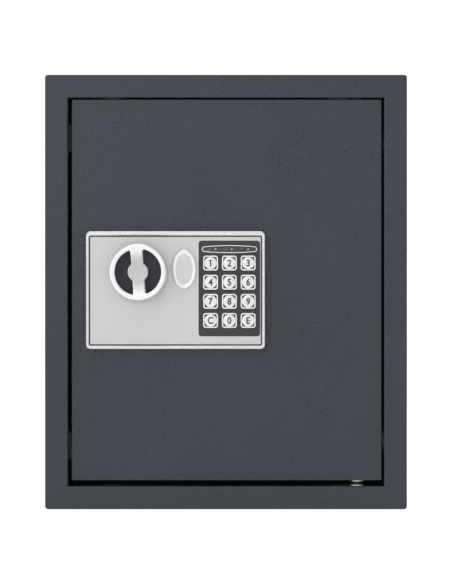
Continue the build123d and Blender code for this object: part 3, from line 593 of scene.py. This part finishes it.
def step(shape, face, inset, rise):
    """Insets a face and raises the inner part."""
    bmesh.ops.inset_region(shape, faces=[face], thickness=inset, depth=rise, use_boundary=True,
                           use_even_offset=True)


def quarter_turn(steps):
    """The angles of a quarter turn in equal steps, without its start."""
    return [math.pi / 2 * i / steps for i in range(1, steps + 1)]


def round_over(shape, face, width, rise, steps=5):
    """Rounds from an upright wall over to a flat top, as a quarter ellipse."""
    done_inset, done_rise = 0.0, 0.0
    for angle in quarter_turn(steps):
        inset, up = width * (1 - math.cos(angle)), rise * math.sin(angle)
        step(shape, face, inset - done_inset, up - done_rise)
        done_inset, done_rise = inset, up


def round_down(shape, face, width, drop, steps=5):
    """Rounds from a flat top down to an upright wall, as a quarter ellipse."""
    done_inset, done_drop = 0.0, 0.0
    for angle in quarter_turn(steps):
        inset, down = width * math.sin(angle), drop * (1 - math.cos(angle))
        step(shape, face, inset - done_inset, done_drop - down)
        done_inset, done_drop = inset, down


def grow_rows(shape, loop, edges, rows):
    """Carries a loop of vertices through rows of places and gives back the edges of the last row."""
    for places in rows:
        grown = bmesh.ops.extrude_edge_only(shape, edges=edges)["geom"]
        edges = [item for item in grown if isinstance(item, bmesh.types.BMEdge)]
        new = {item for item in grown if isinstance(item, bmesh.types.BMVert)}
        loop = [next(edge.other_vert(vert) for edge in vert.link_edges if edge.other_vert(vert) in new)
                for vert in loop]
        for vert, place in zip(loop, places):
            vert.co = place
    return edges


def outline(shape, face):
    """Takes a face away and leaves its outline: its vertices, their places and its edges."""
    loop, edges = list(face.verts), list(face.edges)
    places = [vert.co.copy() for vert in loop]
    bmesh.ops.delete(shape, geom=[face], context="FACES_ONLY")
    return loop, places, edges


def turned(shape, profile, segments=48):
    """A solid turned about the upright axis from a profile of radius and height, both in millimetres."""
    corners = [shape.verts.new((radius, 0, height)) for radius, height in profile]
    edges = [shape.edges.new(pair) for pair in zip(corners, corners[1:])]
    bmesh.ops.spin(shape, geom=corners + edges, cent=(0, 0, 0), axis=(0, 0, 1), angle=2 * math.pi,
                   steps=segments, use_merge=True)
    bmesh.ops.remove_doubles(shape, verts=shape.verts, dist=0.001)


def stand(shape, place):
    """Puts a shape made in millimetres at a place in metres, upright."""
    bmesh.ops.scale(shape, vec=(MM, MM, MM), verts=shape.verts)
    bmesh.ops.translate(shape, vec=place, verts=shape.verts)


def merge_shape(target, part):
    """Adds a finished part to a shape."""
    mesh = bpy.data.meshes.new("part")
    bmesh.ops.recalc_face_normals(part, faces=part.faces)
    part.to_mesh(mesh)
    part.free()
    target.from_mesh(mesh)
    bpy.data.meshes.remove(mesh)


def face_front(shape, place):
    """Turns a shape made in millimetres and facing up to face the front, at a place in metres."""
    bmesh.ops.scale(shape, vec=(MM, MM, MM), verts=shape.verts)
    bmesh.ops.rotate(shape, cent=(0, 0, 0), matrix=Matrix.Rotation(math.pi / 2, 3, "X"), verts=shape.verts)
    bmesh.ops.translate(shape, vec=place, verts=shape.verts)


def finish_piece(name, shape, materials, body, replaced=(), sharp=35.0):
    """Makes a piece of a finished shape: smooth but for its sharp edges, and riding on its body."""
    mesh = bpy.data.meshes.new(name)
    shape.to_mesh(mesh)
    shape.free()
    for each in materials:
        mesh.materials.append(each)
    mesh.shade_smooth()
    mesh.set_sharp_from_angle(angle=math.radians(sharp))
    piece = bpy.data.objects.new(name, mesh)
    bpy.context.scene.collection.objects.link(piece)
    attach(piece, body)
    if replaced:
        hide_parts(*replaced)
    return piece


def smooth_copy(node, name, finish, body, sharp=25.0):
    """A merged copy of a frame node, shaded smooth between its sharp edges, that stands for the node."""
    shape = bmesh.new()
    shape.from_mesh(frame["nodes"][node].data)
    bmesh.ops.remove_doubles(shape, verts=shape.verts, dist=0.000002)
    return finish_piece(name, shape, [finish], body, [node], sharp)


def coat(node, finish):
    """Gives a frame node its finish."""
    for slot in frame["nodes"][node].material_slots:
        slot.material = finish


# ---------------------------------------------------------------- pieces
def make_bezel(sizes):
    """The raised ring round the lock panel, with rounded edges and a front that is dished a little."""
    outer, inner = size_mm("panel_bezel"), size_mm("panel_housing")
    shift = (middle("panel_housing") - middle("panel_bezel")) / MM
    shape = bmesh.new()
    play, inner_corner, outer_corner = 0.1, 1.6, 3.8
    hole = rounded_face(shape, inner.x + 2 * play, inner.z + 2 * play, inner_corner)
    inside = [vert.co + Vector((shift.x, shift.z, 0)) for vert in hole.verts]
    bmesh.ops.delete(shape, geom=[hole], context="FACES")
    loop, outside, first = outline(shape, rounded_face(shape, outer.x, outer.z, outer_corner))
    wall = outer.y - sizes.bezel_round
    edge = 0.34  # the share of the ring's width that each rounded edge takes
    angles = [0.0] + quarter_turn(7)
    rows = [(edge * (1 - math.cos(angle)), wall + sizes.bezel_round * math.sin(angle)) for angle in angles]
    rows.append((0.5, outer.y - sizes.bezel_dish))
    rows += [(1 - edge * (1 - math.sin(angle)), wall + sizes.bezel_round * math.cos(angle))
             for angle in angles]
    rows.append((1.0, 0.0))
    last = grow_rows(shape, loop, first, [[start.lerp(end, across) + Vector((0, 0, up))
                                           for start, end in zip(outside, inside)] for across, up in rows])
    bmesh.ops.bridge_loops(shape, edges=first + last)
    bmesh.ops.recalc_face_normals(shape, faces=shape.faces)
    place = middle("panel_bezel")
    face_front(shape, (place.x, back_of("panel_bezel"), place.z))
    finish_piece("bezel_ring", shape, [ring_silver()], "door", ["panel_bezel"])


def make_washers():
    """The hinge washers: two under the door with a spring washer between them, and one above it; the spring
    washer and the top one carry painted shade.
    """
    low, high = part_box("hinge_washers")
    place = middle("hinge_pins")
    outer = (high.y - low.y) / MM / 2
    door_low, door_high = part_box("door_plate")
    under = (door_low.z - low.z) / MM
    over = (door_high.z - low.z) / MM
    thick, hole = 0.75, 3.15
    # The dark finish on the spring washer and on the washer above the door is painted shade, as dark as the
    # door gap they sit in.
    plated, dark = 0, 1
    washers = (  # bottom, radius, height and finish
        (0.1, outer - 0.4, thick, plated),
        (thick + 0.2, 4.7, under - 2 * thick - 0.5, dark),
        (under - thick - 0.2, outer, thick, plated),
        (over + 0.15, outer, 0.9, dark),
    )
    shape = bmesh.new()
    for base, radius, height, finish in washers:
        part = bmesh.new()
        edge = min(0.3, height / 3)
        turned(part, [(hole, 0), (radius - edge, 0), (radius - edge / 3, edge / 3), (radius, edge),
                      (radius, height - edge), (radius - edge / 3, height - edge / 3),
                      (radius - edge, height), (hole, height), (hole, 0)])
        for face in part.faces:
            face.material_index = finish
        stand(part, (place.x, place.y, low.z + base * MM))
        merge_shape(shape, part)
    finish_piece("turned_washers", shape, [bright_silver(), gap_shade_coat()], "cabinet",
                 ["hinge_washers"])


def make_cells():
    """Four cells in their printed sleeves, with pressed steel ends, laid head to tail."""
    low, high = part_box("battery_cells")
    radius = (high.y - low.y) / MM / 2
    nub, band, seam = 1.2, 13, 6.1  # the seam is where the sleeve ends on the steel
    half = (high.z - low.z) / MM / 2 - nub
    count = 4
    pitch = ((high.x - low.x) / MM - 2 * radius) / (count - 1)
    tail = [(0, -half), (4.6, -half), (4.9, -half + 0.3), (5.6, -half + 0.3), (5.7, -half), (6.5, -half)]
    sleeve = [(radius - 0.15, -half + 0.2), (radius, -half + 0.7), (radius, half - band),
              (radius, half - 0.7), (radius - 0.15, half - 0.2)]
    head = [(6.5, half), (5.7, half), (5.5, half - 0.5), (2.9, half - 0.5), (2.7, half - 0.3),
            (2.6, half + nub - 0.4), (2.2, half + nub), (0, half + nub)]
    shape = bmesh.new()
    for i in range(count):
        part = bmesh.new()
        turned(part, tail + sleeve + head)
        for face in part.faces:
            centre = face.calc_center_median()
            if math.hypot(centre.x, centre.y) < seam:
                face.material_index = 2
            elif centre.z > half - band:
                face.material_index = 1
        if i % 2:
            bmesh.ops.rotate(part, cent=(0, 0, 0), matrix=Matrix.Rotation(math.pi, 3, "X"), verts=part.verts)
        stand(part, (low.x + (radius + i * pitch) * MM, (low.y + high.y) / 2, (low.z + high.z) / 2))
        merge_shape(shape, part)
    finish_piece("sleeved_cells", shape, [cell_sleeve(), cell_band(), zinc_plate()], "door",
                 ["battery_cells"])


def make_cap(sizes):
    """The oval cap over the emergency lock: a rounded bead round a satin centre that sinks a little."""
    outer = size_mm("lock_cap")
    stand_off = (front_of("faceplate") - front_of("lock_cap")) / MM
    bead, rise = sizes.cap_bead, 1.3
    rows = [(0.0, stand_off - rise)]
    for angle in quarter_turn(8):
        rows.append((bead * 0.4 * (1 - math.cos(angle)), stand_off - rise + rise * math.sin(angle)))
    for angle in quarter_turn(8):
        sunk = sizes.cap_sink * (1 - math.cos(angle))
        rows.append((bead * (0.4 + 0.6 * math.sin(angle)), stand_off - sunk))
    shape = bmesh.new()
    loop, places, first = outline(shape, oval_face(shape, outer.x, outer.z))
    slender = 1.2  # the bead is that much wider at the ends of the oval than at its sides
    rings = [[Vector((place.x * (1 - 2 * inset / outer.x), place.y * (1 - 2 * slender * inset / outer.z), up))
              for place in places] for inset, up in rows]
    last = grow_rows(shape, loop, first, rings)
    top = bmesh.ops.contextual_create(shape, geom=last)["faces"][0]
    top.material_index = 1
    bmesh.ops.contextual_create(shape, geom=first)
    bmesh.ops.recalc_face_normals(shape, faces=shape.faces)
    place = middle("lock_cap")
    face_front(shape, (place.x, front_of("faceplate") - 0.02 * MM, place.z))
    finish_piece("oval_cap", shape, [bright_silver(), cap_silver()], "lock_cap", ["lock_cap"])


def make_key(name, sizes):
    """One key: a rounded square frame, dark corners and a domed disc."""
    node = f"key_{name}"
    low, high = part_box(node)
    back = back_of("keypad_fascia")
    flange, corner, edge, inner_edge = 1.4, 2.2, 0.4, 0.2
    width = size_mm(node).x - flange
    rise = (back - low.y) / MM
    shape = bmesh.new()
    top = raise_face(shape, rounded_face(shape, width, width, corner, 6), rise - edge)
    round_over(shape, top, edge, edge, 4)
    step(shape, top, sizes.key_rim - edge - inner_edge, 0.0)
    round_down(shape, top, inner_edge, inner_edge, 3)
    step(shape, top, 0.0001, inner_edge - sizes.key_sink)
    top.material_index = 1
    disc = raise_face(shape, oval_face(shape, sizes.key_disc, sizes.key_disc, 40), sizes.key_sink - 0.4)
    round_over(shape, disc, 0.3, 0.2, 3)
    round_over(shape, disc, 3.2, sizes.key_dome, 6)
    lift(shape, connected(disc), rise - sizes.key_sink)
    face_front(shape, ((low.x + high.x) / 2, back, (low.z + high.z) / 2))
    finish_piece(f"keycap_{name}", shape, [key_silver(), black_plastic()], node, [node])


def text_shape(letter, size, ink, bolder):
    """The shape of one letter, as high as its font makes it and centred."""
    text = bpy.data.curves.new("letter", "FONT")
    text.body = letter
    text.align_x = "CENTER"
    text.align_y = "CENTER"
    text.size = size
    text.extrude = ink
    text.offset = bolder
    text.resolution_u = 6
    flat = bpy.data.objects.new("flat_text", text)
    bpy.context.scene.collection.objects.link(flat)
    bpy.context.view_layer.update()
    mesh = bpy.data.meshes.new_from_object(flat.evaluated_get(bpy.context.evaluated_depsgraph_get()))
    bpy.data.objects.remove(flat)
    shape = bmesh.new()
    shape.from_mesh(mesh)
    bpy.data.meshes.remove(mesh)
    bmesh.ops.remove_doubles(shape, verts=shape.verts, dist=0.0001)
    bmesh.ops.recalc_face_normals(shape, faces=shape.faces)
    across = [vert.co.x for vert in shape.verts]
    upward = [vert.co.y for vert in shape.verts]
    centre = Vector(((min(across) + max(across)) / 2, (min(upward) + max(upward)) / 2, 0))
    bmesh.ops.translate(shape, vec=-centre, verts=shape.verts)
    return shape, max(upward) - min(upward)


def make_legend(name, letter, sizes):
    """The digit or letter printed on a key."""
    node = f"key_{name}"
    low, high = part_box(node)
    ink, narrow = 0.05, 0.84
    shape, tall = text_shape(letter, sizes.legend * 1.38, ink, sizes.stroke * 0.9)
    bmesh.ops.scale(shape, vec=(narrow, sizes.legend / tall, 1), verts=shape.verts)
    if letter == "1":
        flag = connected(raise_face(shape, rounded_face(shape, 1.9, 0.75, 0.05, 2), 2 * ink))
        bmesh.ops.rotate(shape, cent=(0, 0, 0), matrix=Matrix.Rotation(math.radians(40), 3, "Z"), verts=flag)
        bmesh.ops.translate(shape, vec=(-0.55, sizes.legend / 2 - 0.95, -ink), verts=flag)
    front = low.y - (sizes.key_dome - 0.2) * MM
    face_front(shape, ((low.x + high.x) / 2, front, (low.z + high.z) / 2))
    finish_piece(f"legend_{name}", shape, [legend_ink()], node)


# ---------------------------------------------------------------- operators
class SAFE_OT_cabinet(bpy.types.Operator):
    """Finish the cabinet, its wall plate, stops and hinge pins"""

    bl_idname = "wall_safe.cabinet"
    bl_label = "Cabinet"

    def execute(self, context):
        for node in ("body_shell", "back_plate"):
            coat(node, powder_coat())
        # Painted shade: the door stops are coated black so that they read as the door gap's shade.
        coat("door_stops", gap_shade_coat())
        coat("hinge_pins", zinc_plate())
        return {"FINISHED"}


class SAFE_OT_washers(bpy.types.Operator):
    """Turn the washers on the hinge pins"""

    bl_idname = "wall_safe.washers"
    bl_label = "Hinge washers"

    def execute(self, context):
        make_washers()
        return {"FINISHED"}


class SAFE_OT_floor_mat(bpy.types.Operator):
    """Lay the ribbed felt mat on the cabinet's floor"""

    bl_idname = "wall_safe.floor_mat"
    bl_label = "Floor mat"

    def execute(self, context):
        sizes = context.scene.safe_sizes
        low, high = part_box("floor_mat")
        thickness, wave_height, middle_height = 1.2 * MM, 0.25 * MM, 1.1 * MM
        pitch = sizes.mat_rib * MM
        ribs = int((high.x - low.x) / MM / sizes.mat_rib)
        shape = bmesh.new()
        grid = bmesh.ops.create_grid(shape, x_segments=ribs * 4, y_segments=24, size=0.5)["verts"]
        bmesh.ops.scale(shape, vec=(high.x - low.x, high.y - low.y, 1), verts=grid)
        centre = ((low.x + high.x) / 2, (low.y + high.y) / 2, low.z + middle_height)
        bmesh.ops.translate(shape, vec=centre, verts=grid)
        for vert in shape.verts:
            vert.co.z += wave_height * math.cos(vert.co.x / pitch * 2 * math.pi)
        piece = finish_piece("felt_mat", shape, [mat_felt()], "cabinet", ["floor_mat"])
        thick = piece.modifiers.new("thickness", "SOLIDIFY")
        thick.thickness = thickness
        thick.offset = 0.0
        return {"FINISHED"}


class SAFE_OT_door(bpy.types.Operator):
    """Finish the door, its hinge blocks and the bolt bracket"""

    bl_idname = "wall_safe.door"
    bl_label = "Door"

    def execute(self, context):
        for node in ("door_plate", "hinge_blocks", "bolt_bracket"):
            coat(node, powder_coat())
        return {"FINISHED"}


class SAFE_OT_lock_panel(bpy.types.Operator):
    """Make the lock panel: ring, faceplate, housing and key fascia"""

    bl_idname = "wall_safe.lock_panel"
    bl_label = "Lock panel"

    def execute(self, context):
        make_bezel(context.scene.safe_sizes)
        coat("faceplate", panel_silver())
        coat("panel_housing", black_plastic())
        coat("keypad_fascia", fascia_plastic())
        coat("panel_screws", zinc_plate())
        return {"FINISHED"}


class SAFE_OT_knob(bpy.types.Operator):
    """Finish the turning knob and its dark pockets"""

    bl_idname = "wall_safe.knob"
    bl_label = "Knob"

    def execute(self, context):
        smooth_copy("knob", "knob_body", knob_silver(), "knob")
        smooth_copy("knob_inlays", "knob_cups", cup_plastic(), "knob")
        return {"FINISHED"}


class SAFE_OT_lock_cap(bpy.types.Operator):
    """Make the oval cap over the emergency lock"""

    bl_idname = "wall_safe.lock_cap"
    bl_label = "Lock cap"

    def execute(self, context):
        make_cap(context.scene.safe_sizes)
        return {"FINISHED"}


class SAFE_OT_keys(bpy.types.Operator):
    """Make the twelve keys and their legends"""

    bl_idname = "wall_safe.keys"
    bl_label = "Keys"

    def execute(self, context):
        sizes = context.scene.safe_sizes
        for name, letter in KEYS.items():
            make_key(name, sizes)
            make_legend(name, letter, sizes)
        return {"FINISHED"}


class SAFE_OT_indicator(bpy.types.Operator):
    """Finish the indicator window and its lamps"""

    bl_idname = "wall_safe.indicator"
    bl_label = "Indicator"

    def execute(self, context):
        coat("indicator_trim", bright_silver())
        coat("indicator_lens", lens_tint())
        coat("indicator_leds", lamp_epoxy())
        lens, lamps = middle("indicator_lens"), size_mm("indicator_leds")
        pitch = (lamps.x - lamps.z) / 2
        shape = bmesh.new()
        for column in (-1, 0, 1):
            dome = raise_face(shape, oval_face(shape, 1.3, 1.3, 24), 0.05)
            round_over(shape, dome, 0.45, 0.2, 4)
            bmesh.ops.translate(shape, vec=(column * pitch + 2.0, 0, 0), verts=connected(dome))
            dash = raise_face(shape, rounded_face(shape, 0.9, 0.3, 0.14, 2), 0.05)
            bmesh.ops.translate(shape, vec=(column * pitch - 3.0, 0, 0), verts=connected(dash))
        face_front(shape, (lens.x, front_of("indicator_lens") + 0.01 * MM, lens.z))
        finish_piece("window_marks", shape, [lamp_epoxy()], "door")
        return {"FINISHED"}


class SAFE_OT_cells(bpy.types.Operator):
    """Make the four battery cells"""

    bl_idname = "wall_safe.cells"
    bl_label = "Battery cells"

    def execute(self, context):
        make_cells()
        return {"FINISHED"}


class SAFE_OT_mechanism(bpy.types.Operator):
    """Finish the bolts, levers, wiring and covers inside the door"""

    bl_idname = "wall_safe.mechanism"
    bl_label = "Mechanism"

    def execute(self, context):
        for part in frame["record"]["subparts"]:
            node = part["node"]
            if node not in FINISHED_APART and not node.startswith("key_"):
                coat(node, SLOT_FINISH[part["material_slot"]]())
        return {"FINISHED"}


def add_light(name, place, target, size, power):
    """A soft square light that looks at a target."""
    lamp = bpy.data.lights.new(name, "AREA")
    lamp.shape = "SQUARE"
    lamp.size = size
    lamp.energy = power
    holder = bpy.data.objects.new(name, lamp)
    bpy.context.scene.collection.objects.link(holder)
    holder.location = place
    holder.rotation_euler = (Vector(target) - Vector(place)).to_track_quat("-Z", "Y").to_euler()


class SAFE_OT_studio(bpy.types.Operator):
    """Make the pale floor, the soft lights and the camera"""

    bl_idname = "wall_safe.studio"
    bl_label = "Studio"

    def execute(self, context):
        studio = context.scene.safe_studio
        low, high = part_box("body_shell")
        scene = context.scene
        scene.view_settings.view_transform = "Standard"
        world = bpy.data.worlds.new("pale_surroundings")
        world.use_nodes = True
        graph = Graph(world.node_tree)
        around = world.node_tree.nodes["Background"]
        around.inputs["Color"].default_value = WHITE
        around.inputs["Strength"].default_value = studio.world
        backdrop = graph.node("ShaderNodeBackground", {"Color": WHITE, "Strength": 1.1})
        seen = graph.node("ShaderNodeLightPath")
        either = graph.node("ShaderNodeMixShader")
        graph.join(seen, "Is Camera Ray", either, 0)
        graph.join(around, 0, either, 1)
        graph.join(backdrop, 0, either, 2)
        graph.join(either, 0, world.node_tree.nodes["World Output"], "Surface")
        scene.world = world
        shape = bmesh.new()
        floor_radius, clear = 6.0, 0.5 * MM
        bmesh.ops.create_circle(shape, cap_ends=True, radius=floor_radius, segments=96)
        bmesh.ops.translate(shape, vec=(0, 0, low.z - clear), verts=shape.verts)
        mesh = bpy.data.meshes.new("studio_floor")
        shape.to_mesh(mesh)
        shape.free()
        mesh.materials.append(material("studio_paint", (0.93, 0.93, 0.93), grain_group(), {"Scale": 60.0,
                              "Low": 0.85, "High": 0.95}, tone=0.02, bump=0.0,
                              Emission_Color=WHITE, Emission_Strength=0.64))
        floor = bpy.data.objects.new("studio_floor", mesh)
        scene.collection.objects.link(floor)
        aim = (0, low.y, 0)
        add_light("key_light", (-0.7, low.y - 2.0, 0.9), aim, 1.8, studio.key_power)
        add_light("fill_light", (1.1, low.y - 1.7, 0.2), aim, 1.6, studio.fill_power)
        add_light("side_light", (-1.6, low.y - 0.8, 0.3), aim, 0.8, studio.side_power)
        add_light("top_light", (0.0, low.y - 0.3, 1.5), aim, 1.2, studio.top_power)
        camera = bpy.data.cameras.new("camera")
        camera.lens = camera.sensor_width * studio.distance / studio.view_height
        holder = bpy.data.objects.new("camera", camera)
        scene.collection.objects.link(holder)
        holder.location = (0, low.y - studio.distance, (low.z + high.z) / 2)
        holder.rotation_euler = (math.pi / 2, 0, 0)
        scene.camera = holder
        return {"FINISHED"}


OPERATORS = (SAFE_OT_studio, SAFE_OT_cabinet, SAFE_OT_washers, SAFE_OT_floor_mat, SAFE_OT_door,
             SAFE_OT_lock_panel, SAFE_OT_knob, SAFE_OT_lock_cap, SAFE_OT_keys, SAFE_OT_indicator,
             SAFE_OT_cells, SAFE_OT_mechanism)
SETTINGS = {"safe_sizes": SafeSizes, "safe_colours": SafeColours, "safe_studio": SafeStudio}


class SAFE_PT_sidebar(bpy.types.Panel):
    """Sizes, colours and the pieces of the wall safe"""

    bl_label = "Wall safe"
    bl_space_type = "VIEW_3D"
    bl_region_type = "UI"
    bl_category = "Wall safe"

    def draw(self, context):
        for name, settings in SETTINGS.items():
            box = self.layout.box()
            for field in settings.__annotations__:
                box.prop(getattr(context.scene, name), field)
        for operator in OPERATORS:
            self.layout.operator(operator.bl_idname)


def register():
    """Adds the settings, the operators and the panel."""
    for name, settings in SETTINGS.items():
        bpy.utils.register_class(settings)
        setattr(bpy.types.Scene, name, PointerProperty(type=settings))
    for operator in OPERATORS:
        bpy.utils.register_class(operator)
    bpy.utils.register_class(SAFE_PT_sidebar)


def unregister():
    """Takes them away again."""
    bpy.utils.unregister_class(SAFE_PT_sidebar)
    for operator in reversed(OPERATORS):
        bpy.utils.unregister_class(operator)
    for name, settings in SETTINGS.items():
        delattr(bpy.types.Scene, name)
        bpy.utils.unregister_class(settings)


def main():
    """Makes everything, in order."""
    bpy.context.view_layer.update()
    register()
    for operator in OPERATORS:
        group, name = operator.bl_idname.split(".")
        getattr(getattr(bpy.ops, group), name)()
    bpy.context.view_layer.update()


if __name__ == "__main__":
    main()
